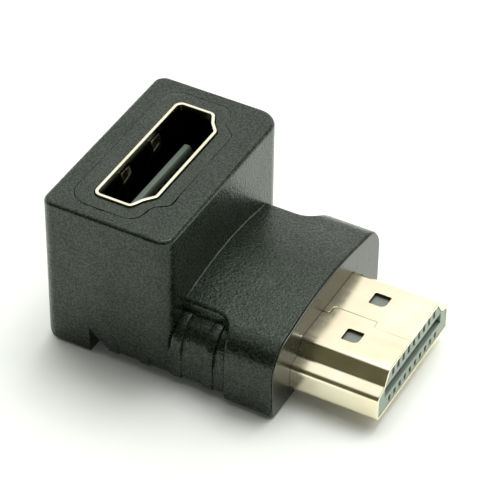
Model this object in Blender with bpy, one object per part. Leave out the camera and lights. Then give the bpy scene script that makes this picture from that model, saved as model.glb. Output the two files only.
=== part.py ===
# Right angle adapter for a nineteen contact display cable: a flat plug on one arm
# and the matching socket on the other, in one moulded body with a ribbed elbow.
# The adapter stands on its underside. The plug points along +X, the socket opens
# along +Z, and the body is symmetrical about the plane Y = 0.
# Lengths along X are counted from the back of the socket arm, heights from the table.
import math

import bmesh
import bpy
from mathutils import Vector

MM = 0.001

# Clearances
fit_gap = 0.06 * MM            # all round a piece that sits in another
strip_gap = 0.05 * MM          # each side of a contact in its channel
solder_gap = 0.03 * MM         # under a contact that lies on the board

# Outer moulding, socket arm
body_width = 20.3 * MM
upright_height = 15.35 * MM
upright_depth = 12.5 * MM
back_corner_radius = 1.1 * MM
front_corner_radius = 2.1 * MM
top_edge_radius = 0.4 * MM
foot_edge_radius = 0.35 * MM
heel_length = 4.5 * MM
heel_rounding = 1.7 * MM
notch_height = 2.85 * MM       # top of the notch between heel and elbow
notch_run = 1.8 * MM           # from the heel to the first rib

# Outer moulding, plug arm
end_face = 22.45 * MM          # the face that the plug comes out of
block_start = 17.6 * MM        # back of the wide end block
block_chamfer = 0.2 * MM
shoulder_height = 7.0 * MM     # where the side and the sloping top would meet
ridge_height = 8.75 * MM       # where the two sloping tops would meet
shoulder_radius = 2.8 * MM
crown_radius = 30.0 * MM
sole_edge_radius = 0.4 * MM
end_edge_radius = 0.12 * MM

# Outer moulding, elbow
neck_half_width = 7.5 * MM
neck_edge_radius = 0.35 * MM
neck_step = 0.02 * MM          # the neck's top lies this much below the block's
flare_radius = 2.2 * MM
ledge_height = 6.45 * MM       # top of the ribs
rib_count = 4
rib_width = 0.95 * MM
rib_flank = 0.08 * MM
rib_inset = 0.15 * MM
rib_top_radius = 1.9 * MM
rib_belly_radius = 0.45 * MM
rib_clearance = 0.55 * MM      # under the ribs
groove_depth = 0.4 * MM
groove_top_radius = 2.3 * MM
groove_belly_radius = 0.4 * MM
belly_step = 0.1 * MM          # from the ribs up to the grooves, underneath
belly_rise = 0.02 * MM         # the grooves under the socket arm are this much lower
belly_inset = 0.4 * MM
belly_radius = 0.45 * MM
parting_height = 2.9 * MM      # where the two halves of the mould met

# Front moulding on the end face
plate_rim = 0.1 * MM           # thickness of the visible rim
plate_edge_radius = 0.06 * MM
plate_boss_wall = 0.5 * MM       # round the plug
plate_boss_length = 1.2 * MM

# Inner moulding round the socket
surround_margin = 1.38 * MM    # beyond the shell, at the sides and front
surround_back_margin = 1.7 * MM
surround_shoulder = 1.3 * MM   # beyond the opening's straight side
surround_knee = 0.4 * MM
surround_depth = 3.0 * MM
surround_gap = 0.08 * MM
surround_chamfer = 0.06 * MM

# Plug
plug_width = 13.9 * MM
plug_height = 4.45 * MM
plug_wall = 0.3 * MM
plug_reach = 8.3 * MM          # out of the end face
plug_tail = 3.1 * MM           # behind the end face
plug_base_height = 1.0 * MM    # the shell's wide side above the table
plug_side_height = 2.62 * MM
plug_step_height = 3.12 * MM
plug_step_half = 5.7 * MM
plug_narrow_half = 4.9 * MM
plug_base_radius = 0.55 * MM
plug_side_radius = 0.7 * MM
plug_step_radius = 0.45 * MM
plug_narrow_radius = 0.45 * MM
plug_tip_chamfer = 0.08 * MM
latch_from_tip = 5.3 * MM
latch_length = 1.42 * MM
latch_width = 1.42 * MM
latch_spacing = 5.24 * MM
latch_round = 0.55 * MM
latch_corner = 0.12 * MM
seam_width = 0.05 * MM
seam_radius = 0.28 * MM
seam_hook_offset = 1.0 * MM
seam_hook_reach = 0.65 * MM    # past the end face
seam_tab_offset = 0.72 * MM
seam_tab_from_tip = 3.55 * MM
seam_tab_length = 1.5 * MM

# Plug insulator and its contacts
face_recess = 0.06 * MM
slot_half_width = 5.45 * MM
slot_height = 1.14 * MM
slot_centre_height = 2.2 * MM
slot_depth = 6.6 * MM
channel_width = 0.44 * MM
channel_height = 0.68 * MM
channel_wall = 0.2 * MM        # plastic under the wide row and over the narrow row
channel_mouth = 1.3 * MM       # closed length of a channel behind the face
contact_pitch = 1.0 * MM
wide_count = 10
narrow_count = 9
strip_thickness = 0.15 * MM
contact_bump = 0.2 * MM        # how far a contact stands into the slot
contact_tip_recess = 0.55 * MM
bump_from_tip = 3.4 * MM
plug_tail_contact = 1.5 * MM   # contact behind the insulator

# Socket
socket_width = 14.1 * MM
socket_opening = 4.55 * MM
socket_wall = 0.3 * MM
socket_back_wall = 3.5 * MM    # from the arm's back to the shell
socket_rim = 0.15 * MM         # shell above the top face
socket_lift = 0.47 * MM        # from the board to the shell
socket_side = 3.25 * MM        # straight part of the side
socket_knee = 3.8 * MM
socket_knee_half = 5.95 * MM
socket_narrow_half = 5.05 * MM
socket_wide_radius = 0.45 * MM
socket_side_radius = 0.35 * MM
socket_knee_radius = 0.8 * MM
socket_narrow_radius = 0.5 * MM
socket_rim_chamfer = 0.06 * MM
spring_spacing = 5.1 * MM
spring_width = 1.4 * MM
spring_slot = 0.25 * MM        # air each side of a spring
spring_thickness = 0.2 * MM
spring_tip_depth = 0.75 * MM
spring_root_depth = 5.0 * MM
spring_bow = 0.32 * MM
spring_lip = 0.12 * MM

# Socket insulator and its contacts
socket_base = 1.8 * MM
tongue_thickness = 0.98 * MM
tongue_centre = 2.1 * MM       # from the opening's wide side
tongue_half_width = 4.95 * MM
tongue_recess = 2.3 * MM       # below the top face
tongue_chamfer = 0.15 * MM
tongue_groove = 0.2 * MM
groove_end = 0.45 * MM         # tongue beyond its grooves
socket_foot = 0.55 * MM

# Board that joins the two rows of contacts
board_thickness = 0.6 * MM
board_half_width = 8.0 * MM
board_back = 5.0 * MM
board_corner = 0.5 * MM
board_head_room = 0.5 * MM     # pocket over the board
board_reach_gap = 0.6 * MM     # from the board to the plug's insulator

arc_steps = 4

# Places that follow from the sizes
half_width = body_width / 2
overall_length = end_face + plug_reach
top_slope = (ridge_height - shoulder_height) / half_width
ribs_start = heel_length + notch_run
rib_groove = (block_start - ribs_start - rib_count * rib_width) / (rib_count - 0.5)
moulding_end = end_face - plate_rim - fit_gap
boss_back = moulding_end - plate_boss_length
plug_rear = end_face - plug_tail
tip = overall_length
insulator_rear = plug_rear - 0.3 * MM
insulator_face = tip - face_recess
board_front = insulator_rear - board_reach_gap
board_middle = plug_base_height + slot_centre_height
board_top = board_middle + board_thickness / 2
board_bottom = board_middle - board_thickness / 2
rim_top = upright_height + socket_rim
socket_bottom = board_top + socket_lift
opening_start = socket_back_wall + socket_wall
tongue_x = opening_start + tongue_centre
tongue_top = upright_height - tongue_recess
base_top = socket_bottom + socket_base


# Turn corners (u, v, radius), listed anticlockwise, into points with an arc at each
# corner. A radius is limited to what its two sides leave room for.
def rounded(corners, steps=arc_steps, closed=True):
    points = []
    count = len(corners)
    for i, (u, v, radius) in enumerate(corners):
        here = Vector((u, v))
        if not closed and i in (0, count - 1):
            points.append(here)
            continue
        before = Vector(corners[i - 1][:2]) - here
        after = Vector(corners[(i + 1) % count][:2]) - here
        half = before.angle(after) / 2
        room = 0.48 * min(before.length, after.length) * math.tan(half)
        radius = max(min(radius, room), 0.01 * MM)
        reach = radius / math.tan(half)
        before.normalize()
        after.normalize()
        centre = here + (before + after).normalized() * (radius / math.sin(half))
        first = here + before * reach - centre
        last = here + after * reach - centre
        sweep = math.atan2(first.x * last.y - first.y * last.x, first.dot(last))
        for k in range(steps + 1):
            turn = sweep * k / steps
            c, s = math.cos(turn), math.sin(turn)
            points.append(centre + Vector((first.x * c - first.y * s, first.x * s + first.y * c)))
    return points


# Move every side of an anticlockwise outline outwards by a distance. Radii follow,
# so that the two outlines stay parallel.
def grown(corners, distance):
    moved = []
    count = len(corners)
    for i, (u, v, radius) in enumerate(corners):
        here = Vector((u, v))
        side_in = (here - Vector(corners[i - 1][:2])).normalized()
        side_out = (Vector(corners[(i + 1) % count][:2]) - here).normalized()
        turn = side_in.x * side_out.y - side_in.y * side_out.x
        normal_in = Vector((side_in.y, -side_in.x))
        normal_out = Vector((side_out.y, -side_out.x))
        middle = (normal_in + normal_out).normalized()
        corner = here + middle * (distance / middle.dot(normal_in))
        change = distance if turn > 0 else -distance
        moved.append((corner.x, corner.y, max(radius + change, 0.02 * MM)))
    return moved


def across_x(points, x):
    return [Vector((x, p[0], p[1])) for p in points]


def across_y(points, y):
    return [Vector((p[0], y, p[1])) for p in points]


def across_z(points, z):
    return [Vector((p[0], p[1], z)) for p in points]


# A solid through a row of rings with equally many points. A closed row joins its last
# ring to its first, as a tube with a wall does; otherwise both ends get a cap.
def loft(name, rings, closed=False):
    mesh = bpy.data.meshes.new(name)
    shape = bmesh.new()
    rows = [[shape.verts.new(point) for point in ring] for ring in rings]
    count = len(rows[0])
    pairs = list(zip(rows, rows[1:]))
    if closed:
        pairs.append((rows[-1], rows[0]))
    for low, high in pairs:
        for i in range(count):
            j = (i + 1) % count
            shape.faces.new((low[i], low[j], high[j], high[i]))
    if not closed:
        shape.faces.new(rows[0])
        shape.faces.new(rows[-1])
    bmesh.ops.recalc_face_normals(shape, faces=shape.faces)
    shape.to_mesh(mesh)
    shape.free()
    solid = bpy.data.objects.new(name, mesh)
    bpy.context.scene.collection.objects.link(solid)
    return solid


def prism_x(name, corners, x_low, x_high):
    points = rounded(corners)
    return loft(name, [across_x(points, x_low), across_x(points, x_high)])


def prism_y(name, points, y_low, y_high):
    return loft(name, [across_y(points, y_low), across_y(points, y_high)])


def prism_z(name, points, z_low, z_high):
    return loft(name, [across_z(points, z_low), across_z(points, z_high)])


def block(name, low, high):
    points = [(low[0], low[1]), (high[0], low[1]), (high[0], high[1]), (low[0], high[1])]
    return prism_z(name, points, low[2], high[2])


# Put several solids in one mesh, as one cutter.
def gather(name, solids):
    mesh = bpy.data.meshes.new(name)
    shape = bmesh.new()
    for solid in solids:
        shape.from_mesh(solid.data)
    shape.to_mesh(mesh)
    shape.free()
    for solid in solids:
        bpy.data.objects.remove(solid)
    whole = bpy.data.objects.new(name, mesh)
    bpy.context.scene.collection.objects.link(whole)
    return whole


# Cut or join with Blender's exact Boolean, and keep the result as the target's mesh.
def combine(target, tool, operation):
    modifier = target.modifiers.new("combine", "BOOLEAN")
    modifier.operation = operation
    modifier.solver = "EXACT"
    modifier.object = tool
    bpy.context.view_layer.update()
    evaluated = target.evaluated_get(bpy.context.evaluated_depsgraph_get())
    result = bpy.data.meshes.new_from_object(evaluated)
    target.modifiers.remove(modifier)
    target.data = result
    bpy.data.objects.remove(tool)


def cut(target, tool):
    combine(target, tool, "DIFFERENCE")


def join(target, tool):
    combine(target, tool, "UNION")


def make_material(name, color, roughness, metallic=0.0):
    material = bpy.data.materials.new(name)
    material.use_nodes = True
    shader = material.node_tree.nodes["Principled BSDF"]
    shader.inputs["Base Color"].default_value = (*color, 1.0)
    shader.inputs["Roughness"].default_value = roughness
    shader.inputs["Metallic"].default_value = metallic
    return material


def finish(solid, material, parent):
    mesh = solid.data
    mesh.materials.clear()
    mesh.materials.append(material)
    mesh.shade_smooth()
    mesh.set_sharp_from_angle(angle=math.radians(32))
    solid.parent = parent


# Levels of a rounded edge: (distance along, inset) from the face inwards.
def edge_levels(radius, steps=3):
    levels = []
    for k in range(steps + 1):
        turn = math.pi / 2 * k / steps
        levels.append((radius * (1 - math.sin(turn)), radius * (1 - math.cos(turn))))
    return levels[::-1]


# The plug arm's section: upright sides, rounded shoulders and a slightly crowned top.
def arm_corners(side, sole):
    top = ridge_height - top_slope * side
    return [
        (-side, sole, sole_edge_radius),
        (side, sole, sole_edge_radius),
        (side, top, shoulder_radius),
        (0.0, ridge_height, crown_radius),
        (-side, top, shoulder_radius),
    ]


# Height of the plug arm's top at a distance from the middle, along its section.
def arm_top(y):
    points = [p for p in rounded(arm_corners(half_width, 0.0)) if p.y > shoulder_height / 2 and p.x >= -1e-9]
    points.sort(key=lambda p: p.x)
    y = min(max(y, points[0].x), points[-1].x)
    for a, b in zip(points, points[1:]):
        if y <= b.x:
            share = (y - a.x) / max(b.x - a.x, 1e-9)
            return a.y + (b.y - a.y) * share
    return points[-1].y


# The plug shell's outer section, wide side down, as (y, z).
def plug_corners():
    base = plug_base_height
    half = plug_width / 2
    right = [
        (half, base, plug_base_radius),
        (half, base + plug_side_height, plug_side_radius),
        (plug_step_half, base + plug_step_height, plug_step_radius),
        (plug_narrow_half, base + plug_height, plug_narrow_radius),
    ]
    left = [(-y, z, radius) for y, z, radius in reversed(right)]
    return right + left


# The socket's opening, wide side towards the back, as (x, y).
def opening_corners():
    start = opening_start
    half = socket_width / 2
    low = [
        (start, -half, socket_wide_radius),
        (start + socket_side, -half, socket_side_radius),
        (start + socket_knee, -socket_knee_half, socket_knee_radius),
        (start + socket_opening, -socket_narrow_half, socket_narrow_radius),
    ]
    high = [(x, -y, radius) for x, y, radius in reversed(low)]
    return low + high


# Outline of the moulding round the socket, as (x, y). It follows the shell loosely.
def surround_corners():
    back = socket_back_wall - surround_back_margin
    front = opening_start + socket_opening + socket_wall + surround_margin
    side = socket_width / 2 + socket_wall + surround_margin
    low = [
        (back, -side, 1.9 * MM),
        (opening_start + socket_side + surround_shoulder, -side, 1.6 * MM),
        (opening_start + socket_knee + surround_margin - surround_knee / 2,
         -socket_knee_half - surround_knee, 1.2 * MM),
        (front, -socket_narrow_half - surround_knee, 0.9 * MM),
    ]
    high = [(x, -y, radius) for x, y, radius in reversed(low)]
    return low + high


# Socket arm: a rounded upright block, its sides turned under beyond the heel.
def make_upright():
    half = half_width
    corners = [
        (0.0, -half, back_corner_radius),
        (upright_depth, -half, front_corner_radius),
        (upright_depth, half, front_corner_radius),
        (0.0, half, back_corner_radius),
    ]
    rings = []
    for along, inset in edge_levels(foot_edge_radius):
        rings.append(across_z(rounded(grown(corners, -inset)), along))
    for along, inset in edge_levels(top_edge_radius)[::-1]:
        rings.append(across_z(rounded(grown(corners, -inset)), upright_height - along))
    upright = loft("overmould_body", rings)

    beyond = half + 2 * MM
    below = -2 * MM
    ceiling = rib_clearance + belly_step - belly_rise
    channel = rounded([
        (half + 0.01 * MM, parting_height, 0.0),
        (half - belly_inset, ceiling, belly_radius),
        (belly_inset - half, ceiling, belly_radius),
        (-half - 0.01 * MM, parting_height, 0.0),
    ], closed=False)
    belly = channel + [Vector((-beyond, parting_height)), Vector((-beyond, below)),
                       Vector((beyond, below)), Vector((beyond, parting_height))]
    cut(upright, loft("belly_cutter", [across_x(belly, heel_length),
                                       across_x(belly, upright_depth + 2 * MM)]))

    curve = rounded([
        (0.0, heel_rounding, 0.0),
        (0.0, 0.0, heel_rounding * 0.999),
        (heel_rounding, 0.0, 0.0),
    ], steps=8, closed=False)
    outside = [Vector((heel_rounding, below)), Vector((below, below)), Vector((below, heel_rounding))]
    return upright, [("heel_cutter", curve + outside, beyond)]


# Elbow below the ledge: ribs and grooves as one row of sections along X.
def make_ribs():
    side = half_width - rib_inset
    sole = rib_clearance
    rib = rounded([
        (-side, sole, rib_belly_radius),
        (side, sole, rib_belly_radius),
        (side, ledge_height, rib_top_radius),
        (-side, ledge_height, rib_top_radius),
    ], steps=6)
    low = side - groove_depth
    groove = rounded([
        (-low, sole + belly_step, groove_belly_radius),
        (low, sole + belly_step, groove_belly_radius),
        (low, ledge_height - 0.05 * MM, groove_top_radius),
        (-low, ledge_height - 0.05 * MM, groove_top_radius),
    ], steps=6)
    rings = [across_x(groove, heel_length + 0.3 * MM)]
    for i in range(rib_count):
        start = ribs_start + i * (rib_width + rib_groove)
        rings.append(across_x(groove, start - rib_flank))
        rings.append(across_x(rib, start))
        rings.append(across_x(rib, start + rib_width))
        rings.append(across_x(groove, start + rib_width + rib_flank))
    rings.append(across_x(groove, block_start + block_chamfer))
    return loft("ribs", rings)


# Elbow above the ledge: a narrower neck that flares out into the end block.
def make_neck():
    rows = 12
    floor = ledge_height / 2

    def section(x, width):
        points = [Vector((width, floor))]
        for k in range(2 * rows + 1):
            y = width * math.cos(math.pi * k / (2 * rows))
            past = max(abs(y) - (width - neck_edge_radius), 0.0)
            fall = neck_edge_radius - math.sqrt(max(neck_edge_radius ** 2 - past ** 2, 0.0))
            points.append(Vector((y, arm_top(abs(y)) - neck_step - fall)))
        points.append(Vector((-width, floor)))
        return across_x(points, x)

    start = block_start - flare_radius
    rings = [section(upright_depth * 0.6, neck_half_width), section(start, neck_half_width)]
    for k in range(1, 7):
        turn = math.radians(80) * k / 6
        rings.append(section(start + flare_radius * math.sin(turn),
                             neck_half_width + flare_radius * (1 - math.cos(turn))))
    last = rings[-1]
    rings.append([Vector((block_start + block_chamfer, p.y, p.z - neck_step)) for p in last])
    return loft("neck", rings)


# Wide end block behind the plug.
def make_block():
    narrow = arm_corners(half_width - block_chamfer, block_chamfer)
    wide = arm_corners(half_width, 0.0)
    rings = [
        across_x(rounded(narrow), block_start),
        across_x(rounded(wide), block_start + block_chamfer),
    ]
    for along, inset in edge_levels(end_edge_radius)[::-1]:
        rings.append(across_x(rounded(grown(wide, -inset)), moulding_end - along))
    return loft("end_block", rings)


def make_overmould(material, parent):
    body, later = make_upright()
    join(body, make_ribs())
    join(body, make_neck())
    join(body, make_block())
    for name, points, reach in later:
        cut(body, prism_y(name, points, -reach, reach))

    reach = half_width + 2 * MM
    start = Vector((heel_length, notch_height))
    bend = Vector((heel_length + 0.28 * notch_run, notch_height * 0.6))
    end = Vector((ribs_start + 0.3 * MM, rib_clearance))
    notch = [Vector((heel_length, -1 * MM)), Vector((end.x, -1 * MM))]
    for k in range(9):
        t = 1 - k / 8
        notch.append(start * (1 - t) ** 2 + bend * (2 * t * (1 - t)) + end * t ** 2)
    cut(body, prism_y("notch_cutter", notch, -reach, reach))

    mouth = rounded(grown(surround_corners(), surround_gap))
    well = rounded(grown(opening_corners(), socket_wall + fit_gap))
    shelf = upright_height - surround_depth - fit_gap
    cut(body, prism_z("surround_pocket", mouth, shelf, upright_height + 1 * MM))
    cut(body, prism_z("socket_pocket", well, socket_bottom - fit_gap, shelf + 0.5 * MM))

    side = board_half_width + fit_gap
    cut(body, block("board_pocket",
                    (board_back - fit_gap, -side, board_bottom - board_head_room / 2),
                    (plug_rear - 0.2 * MM, side, board_top + board_head_room)))

    plug = grown(plug_corners(), fit_gap)
    cut(body, prism_x("plug_pocket", plug, board_front - 0.3 * MM, end_face))
    boss = grown(plug_corners(), 2 * fit_gap + plate_boss_wall)
    cut(body, prism_x("boss_pocket", boss, boss_back - fit_gap, end_face + 1 * MM))
    finish(body, material, parent)


# Front moulding: a boss in the overmould, and a rim with a rounded edge over its end.
def make_end_plate(material, parent):
    rim = grown(arm_corners(half_width, 0.0), -end_edge_radius)
    rim_back = end_face - plate_rim
    rings = [across_x(rounded(rim), rim_back)]
    for along, inset in edge_levels(plate_edge_radius)[::-1]:
        rings.append(across_x(rounded(grown(rim, -inset)), end_face - along))
    plate = loft("plug_end_plate", rings)
    boss = grown(plug_corners(), fit_gap + plate_boss_wall)
    join(plate, prism_x("plate_boss", boss, boss_back, rim_back + plate_rim / 2))
    hole = grown(plug_corners(), fit_gap)
    cut(plate, prism_x("plug_hole", hole, boss_back - 1 * MM, end_face + 1 * MM))
    finish(plate, material, parent)


# Inner moulding round the socket, flush with the top face.
def make_surround(material, parent):
    outer = surround_corners()
    inner = grown(opening_corners(), socket_wall + fit_gap)
    low = upright_height - surround_depth
    high = upright_height
    chamfer = surround_chamfer
    rings = [
        across_z(rounded(outer), low),
        across_z(rounded(outer), high - chamfer),
        across_z(rounded(grown(outer, -chamfer)), high),
        across_z(rounded(inner), high),
        across_z(rounded(inner), low),
    ]
    finish(loft("socket_surround", rings, closed=True), material, parent)


# A band of the given width along an open path.
def band(path, width):
    left = []
    right = []
    for i, here in enumerate(path):
        ahead = (path[min(i + 1, len(path) - 1)] - here)
        behind = (here - path[max(i - 1, 0)])
        along = (ahead.normalized() + behind.normalized()).normalized()
        normal = Vector((-along.y, along.x))
        left.append(here + normal * (width / 2))
        right.append(here - normal * (width / 2))
    return left + right[::-1]


# Plug shell: a folded sheet whose edges meet in a hooked seam on the narrow side.
def make_plug_shell(material, parent):
    outer = plug_corners()
    inner = grown(outer, -plug_wall)
    outer_points = rounded(outer)
    inner_points = rounded(inner)
    edge = rounded(grown(outer, -plug_tip_chamfer))
    rings = [
        across_x(outer_points, plug_rear),
        across_x(outer_points, tip - plug_tip_chamfer),
        across_x(edge, tip),
        across_x(inner_points, tip),
        across_x(inner_points, plug_rear),
    ]
    shell = loft("plug_shell", rings, closed=True)

    near = tip - latch_from_tip
    far = near + latch_length
    holes = []
    for side in (-1, 1):
        middle = side * latch_spacing / 2
        low = middle - latch_width / 2
        high = middle + latch_width / 2
        outline = rounded([
            (near, low, latch_corner),
            (far, low, latch_round),
            (far, high, latch_corner),
            (near, high, latch_corner),
        ])
        holes.append(prism_z("latch_hole", outline, plug_base_height - 1 * MM,
                             plug_base_height + plug_height + 1 * MM))
    cut(shell, gather("latch_holes", holes))

    hook = end_face + seam_hook_reach
    tab = tip - seam_tab_from_tip
    path = rounded([
        (plug_rear - 1 * MM, -seam_hook_offset, 0.0),
        (hook, -seam_hook_offset, seam_radius),
        (hook, 0.0, seam_radius),
        (tab, 0.0, seam_radius / 4),
        (tab, -seam_tab_offset, seam_radius / 4),
        (tab + seam_tab_length, -seam_tab_offset, seam_radius / 4),
        (tab + seam_tab_length, 0.0, seam_radius / 4),
        (tip + 1 * MM, 0.0, 0.0),
    ], closed=False)
    top = plug_base_height + plug_height
    cut(shell, prism_z("seam_cutter", band(path, seam_width), top - 2 * plug_wall, top + 1 * MM))
    finish(shell, material, parent)


# Levels of the plug's two rows of channels, as (low, high) heights.
def channel_levels():
    floor = plug_base_height + plug_wall + fit_gap
    roof = plug_base_height + plug_height - plug_wall - fit_gap
    low = floor + channel_wall
    high = roof - channel_wall
    return (low, low + channel_height), (high - channel_height, high)


def row_places(count):
    return [(i - (count - 1) / 2) * contact_pitch for i in range(count)]


# Plug insulator: fills the shell, with a slot for the socket's tongue and a channel
# for each contact that opens into the slot behind the face.
def make_plug_insulator(material, parent):
    section = grown(plug_corners(), -plug_wall - fit_gap)
    body = prism_x("plug_insulator", section, insulator_rear, insulator_face)
    slot_low = plug_base_height + slot_centre_height - slot_height / 2
    slot_high = slot_low + slot_height
    slot_back = insulator_face - slot_depth
    slot = block("slot_cutter", (slot_back, -slot_half_width, slot_low),
                 (tip + 1 * MM, slot_half_width, slot_high))
    cut(body, slot)

    wide, narrow = channel_levels()
    half = channel_width / 2
    mouth = insulator_face - channel_mouth
    before = insulator_rear - 1 * MM
    beyond = tip + 1 * MM
    above = plug_base_height + plug_height + 1 * MM
    middle = (slot_low + slot_high) / 2
    runs = []
    links = []
    for y in row_places(wide_count):
        runs.append(block("run", (before, y - half, wide[0]), (beyond, y + half, wide[1])))
        links.append(block("link", (slot_back + 0.2 * MM, y - half, wide[0] + 0.1 * MM),
                           (mouth, y + half, middle)))
    for y in row_places(narrow_count):
        runs.append(block("run", (before, y - half, narrow[0]), (beyond, y + half, narrow[1])))
        links.append(block("link", (slot_back + 0.2 * MM, y - half, middle),
                           (mouth, y + half, narrow[1] - 0.1 * MM)))
    cut(body, gather("channels", runs))
    cut(body, gather("links", links))
    notches = []
    for y in row_places(narrow_count):
        notches.append(block("notch", (mouth + 0.1 * MM, y - half, narrow[1] - 0.1 * MM),
                             (beyond, y + half, above)))
    cut(body, gather("notches", notches))
    finish(body, material, parent)


# A flat strip of even thickness along a path of (x, z) points, centred on y.
def strip(name, path, y, width):
    outline = band([Vector(p) for p in path], strip_thickness)
    return prism_y(name, outline, y - width / 2, y + width / 2)


def make_plug_contacts(material, parent):
    wide, narrow = channel_levels()
    slot_low = plug_base_height + slot_centre_height - slot_height / 2
    slot_high = slot_low + slot_height
    width = channel_width - 2 * strip_gap
    half = strip_thickness / 2
    tail_end = insulator_rear - plug_tail_contact
    bump = tip - bump_from_tip
    lead = insulator_face - channel_mouth - 0.3 * MM
    end = tip - contact_tip_recess

    def path(tail, run, touch):
        return [
            (tail_end, tail),
            (board_front - 0.1 * MM, tail),
            (insulator_rear - 0.05 * MM, run),
            (bump - 2.6 * MM, run),
            (bump - 0.4 * MM, touch),
            (bump + 0.4 * MM, touch),
            (lead, run),
            (end, run),
        ]

    run_low = (wide[0] + wide[1]) / 2
    low = path(board_bottom - solder_gap - half, run_low, slot_low + contact_bump - half)
    run_high = (narrow[0] + narrow[1]) / 2
    high = path(board_top + solder_gap + half, run_high, slot_high - contact_bump + half)
    for i, y in enumerate(row_places(wide_count)):
        finish(strip(f"plug_contact_wide_{i + 1:02d}", low, y, width), material, parent)
    for i, y in enumerate(row_places(narrow_count)):
        finish(strip(f"plug_contact_narrow_{i + 1:02d}", high, y, width), material, parent)


# Socket shell: a folded sheet with two springs on its wide side and two on its narrow
# side, which bow into the opening and catch the plug.
def make_socket_shell(material, parent):
    inner = opening_corners()
    outer = grown(inner, socket_wall)
    rim = rounded(grown(outer, -socket_rim_chamfer))
    rings = [
        across_z(rounded(outer), socket_bottom),
        across_z(rounded(outer), rim_top - socket_rim_chamfer),
        across_z(rim, rim_top),
        across_z(rounded(inner), rim_top),
        across_z(rounded(inner), socket_bottom),
    ]
    shell = loft("socket_shell", rings, closed=True)

    tip_z = rim_top - spring_tip_depth
    root_z = rim_top - spring_root_depth
    walls = [(opening_start, 1), (opening_start + socket_opening, -1)]
    windows = []
    springs = []
    for wall, inward in walls:
        low = min(wall - inward * (socket_wall + 0.2 * MM), wall + inward * 0.2 * MM)
        high = low + socket_wall + 0.4 * MM
        for side in (-1, 1):
            middle = side * spring_spacing / 2
            reach = spring_width / 2 + spring_slot
            windows.append(block("window", (low, middle - reach, root_z),
                                 (high, middle + reach, tip_z + spring_slot)))
            rest = wall - inward * socket_wall / 2
            path = [
                Vector((rest, root_z - 0.6 * MM)),
                Vector((rest, root_z)),
                Vector((rest + inward * spring_bow * 0.5, root_z + 1.2 * MM)),
                Vector((rest + inward * (spring_bow + socket_wall / 2), tip_z - 1.1 * MM)),
                Vector((rest + inward * (spring_bow + socket_wall / 2), tip_z - 0.7 * MM)),
                Vector((rest + inward * spring_lip, tip_z)),
            ]
            outline = band(path, spring_thickness)
            springs.append(prism_y("spring", outline, middle - spring_width / 2,
                                   middle + spring_width / 2))
    cut(shell, gather("windows", windows))
    join(shell, gather("springs", springs))
    finish(shell, material, parent)


# Socket insulator: a base that closes the shell, and the tongue that stands on it with
# a groove for each contact.
def make_socket_insulator(material, parent):
    base = prism_z("socket_insulator", rounded(grown(opening_corners(), -fit_gap)),
                   socket_bottom, base_top)
    half = tongue_thickness / 2
    foot = socket_bottom + 0.4 * MM
    chamfer = tongue_chamfer
    profile = [
        (tongue_x - half, foot),
        (tongue_x + half, foot),
        (tongue_x + half, tongue_top - chamfer),
        (tongue_x + half - chamfer, tongue_top),
        (tongue_x - half + chamfer, tongue_top),
        (tongue_x - half, tongue_top - chamfer),
    ]
    join(base, prism_y("tongue", profile, -tongue_half_width, tongue_half_width))

    grooves = []
    slack = channel_width / 2
    low = socket_bottom - 1 * MM
    high = tongue_top - groove_end
    for face, inward, count in ((tongue_x - half, 1, wide_count), (tongue_x + half, -1, narrow_count)):
        ends = sorted((face - inward * 0.08 * MM, face + inward * tongue_groove))
        for y in row_places(count):
            grooves.append(block("groove", (ends[0], y - slack, low), (ends[1], y + slack, high)))
    cut(base, gather("grooves", grooves))
    finish(base, material, parent)


def make_socket_contacts(material, parent):
    half = tongue_thickness / 2
    width = channel_width - 2 * strip_gap
    depth = tongue_groove - solder_gap - strip_thickness / 2
    top = tongue_top - groove_end - 0.1 * MM
    foot = board_top + solder_gap + strip_thickness / 2

    def path(x):
        return [(x, top), (x, foot), (x + socket_foot, foot)]

    for i, y in enumerate(row_places(wide_count)):
        name = f"socket_contact_wide_{i + 1:02d}"
        finish(strip(name, path(tongue_x - half + depth), y, width), material, parent)
    for i, y in enumerate(row_places(narrow_count)):
        name = f"socket_contact_narrow_{i + 1:02d}"
        finish(strip(name, path(tongue_x + half - depth), y, width), material, parent)


def make_board(material, parent):
    half = board_half_width
    outline = rounded([
        (board_back, -half, board_corner),
        (board_front, -half, board_corner),
        (board_front, half, board_corner),
        (board_back, half, board_corner),
    ])
    finish(prism_z("link_board", outline, board_bottom, board_top), material, parent)


def main():
    for item in list(bpy.data.objects):
        bpy.data.objects.remove(item)
    adapter = bpy.data.objects.new("adapter", None)
    bpy.context.scene.collection.objects.link(adapter)
    adapter.location.x = -overall_length / 2

    black = make_material("overmould_black", (0.035, 0.037, 0.036), 0.55)
    inner_black = make_material("inner_moulding_black", (0.04, 0.042, 0.041), 0.5)
    gloss_black = make_material("end_plate_gloss", (0.03, 0.03, 0.03), 0.18)
    gold = make_material("shell_gold", (0.86, 0.76, 0.52), 0.18, 1.0)
    contact_gold = make_material("contact_gold", (0.80, 0.62, 0.30), 0.3, 1.0)
    grey = make_material("insulator_grey", (0.42, 0.44, 0.46), 0.5)
    green = make_material("board_green", (0.05, 0.16, 0.08), 0.5)

    make_overmould(black, adapter)
    make_surround(inner_black, adapter)
    make_end_plate(gloss_black, adapter)
    make_plug_shell(gold, adapter)
    make_plug_insulator(grey, adapter)
    make_plug_contacts(contact_gold, adapter)
    make_socket_shell(gold, adapter)
    make_socket_insulator(grey, adapter)
    make_socket_contacts(contact_gold, adapter)
    make_board(green, adapter)
    bpy.context.view_layer.update()


main()
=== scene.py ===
import bmesh
import bpy
import numpy as np
from mathutils import Matrix, Vector


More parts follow.
